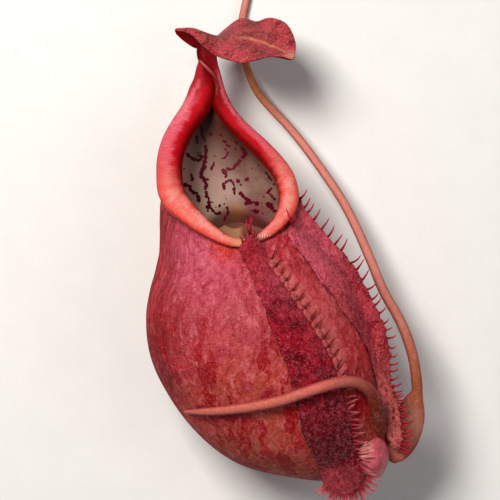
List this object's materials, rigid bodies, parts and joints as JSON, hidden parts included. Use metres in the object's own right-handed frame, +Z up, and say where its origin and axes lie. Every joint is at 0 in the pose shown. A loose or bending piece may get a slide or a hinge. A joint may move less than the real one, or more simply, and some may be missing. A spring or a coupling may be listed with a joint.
{
  "type": "pitcher of a hanging pitcher plant",
  "caption": "Picked pitcher plant trap lying on its back: swollen cup, rolled collar, waved lid, fringed wings, carrying tendril and a slender tendril across its front.",
  "frame": {"origin": "middle of the box's underside, on the surface that the pitcher lies on", "axes": "+Z up, out of the pitcher's front; +Y from its base towards the mouth, lid and the stem's cut end; +X to the right as it is seen from above"},
  "size_m": [0.0842, 0.1612, 0.0638],
  "materials": {
    "cup_skin": "satin skin with short pale fuzz, red mottles and fine veins",
    "collar_gloss": "glossy, with very fine cross ribs",
    "lid_leaf": "satin leaf with pale speckle and a yellow midrib",
    "dark_wing": "dull, densely covered in short pale hairs",
    "pink_wing": "dull, short fuzz",
    "tendril_bark": "smooth green stem, satin",
    "clasping_bark": "smooth green stem, satin",
    "fluid": "clear to milky fluid, wet"
  },
  "bodies": {
    "root": {"pitcher_cup": "cup_skin", "peristome": "collar_gloss", "lid": "lid_leaf", "left_wing": "dark_wing", "right_wing": "pink_wing", "tendril": "tendril_bark", "clasping_tendril": "clasping_bark", "digestive_fluid": "fluid"}
  },
  "joints": []
}
